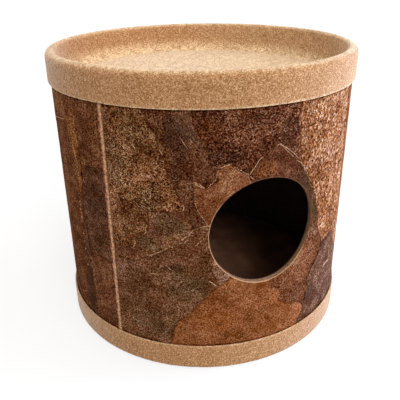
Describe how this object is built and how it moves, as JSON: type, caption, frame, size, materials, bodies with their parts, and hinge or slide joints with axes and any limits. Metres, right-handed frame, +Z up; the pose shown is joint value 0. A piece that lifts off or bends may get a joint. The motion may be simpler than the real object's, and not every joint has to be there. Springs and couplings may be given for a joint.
{
  "type": "cat cave bed",
  "caption": "Drum-shaped cat bed with a round front entrance, a patchwork leather wrap, a felt base band, a loose pad inside and a lift-off felt lid moulded as a tray.",
  "frame": {"origin": "centre of the underside, on the floor under the axis of the drum", "axes": "+Z up along the axis of the drum, -Y out through the entrance, +X to the right of someone facing it"},
  "size_m": [0.4568, 0.4568, 0.427],
  "materials": {
    "felt_camel": "camel needle-punched felt, fuzzy",
    "felt_dark": "dark brown felt",
    "ply": "plain plywood",
    "tube_board": "wound paper board, cut edge light tan",
    "rim_foam": "firm cut foam",
    "pad_cloth": "dark brown woven cloth over filling",
    "leather_strip": "light tan flesh-side leather strip",
    "leather_dark": "dark reddish brown cracked hide",
    "leather_brown": "brown hide",
    "leather_red": "red brown hide",
    "leather_olive": "olive brown granular hide",
    "leather_plum": "purple grey hide",
    "leather_copper": "pitted copper tan hide",
    "leather_tan": "torn light tan hide",
    "suede_rust": "rust orange suede"
  },
  "bodies": {
    "drum": {"base_band": "felt_camel", "base_board": "ply", "base_underside": "felt_dark", "drum_wall": "tube_board", "hide_arch": "leather_brown", "hide_back_1": "leather_brown", "hide_back_10": "leather_tan", "hide_back_11": "leather_dark", "hide_back_12": "suede_rust", "hide_back_13": "leather_brown", "hide_back_14": "leather_red", "hide_back_2": "leather_olive", "hide_back_3": "leather_copper", "hide_back_4": "leather_dark", "hide_back_5": "suede_rust", "hide_back_6": "leather_brown", "hide_back_7": "leather_olive", "hide_back_8": "leather_dark", "hide_back_9": "leather_plum", "hide_copper": "leather_copper", "hide_cracked": "leather_dark", "hide_granular": "leather_olive", "hide_grey": "leather_olive", "hide_left_dark": "leather_dark", "hide_left_lower": "leather_brown", "hide_left_middle": "leather_dark", "hide_left_tan": "leather_tan", "hide_left_upper": "leather_brown", "hide_olive": "leather_brown", "hide_plum": "leather_plum", "hide_purple": "leather_dark", "hide_russet": "leather_red", "hide_rust": "suede_rust", "hide_side_red": "leather_red", "hide_side_upper": "leather_tan", "hide_sliver": "leather_tan", "hide_torn_tan": "leather_tan", "seam_strip": "leather_strip", "wall_lining": "felt_dark"},
    "lid": {"lid_cover": "felt_camel", "lid_rim_core": "rim_foam", "lid_hoop": "tube_board", "lid_board": "ply", "lid_underside": "felt_dark"},
    "pad": {"floor_pad": "pad_cloth"}
  },
  "joints": [
    {"name": "lid_lift", "type": "slide", "parent": "drum", "child": "lid", "axis": [0, 0, 1], "range_m": [0, 0.15]},
    {"name": "pad_lift", "type": "slide", "parent": "drum", "child": "pad", "axis": [0, 0, 1], "range_m": [0, 0.3]}
  ]
}
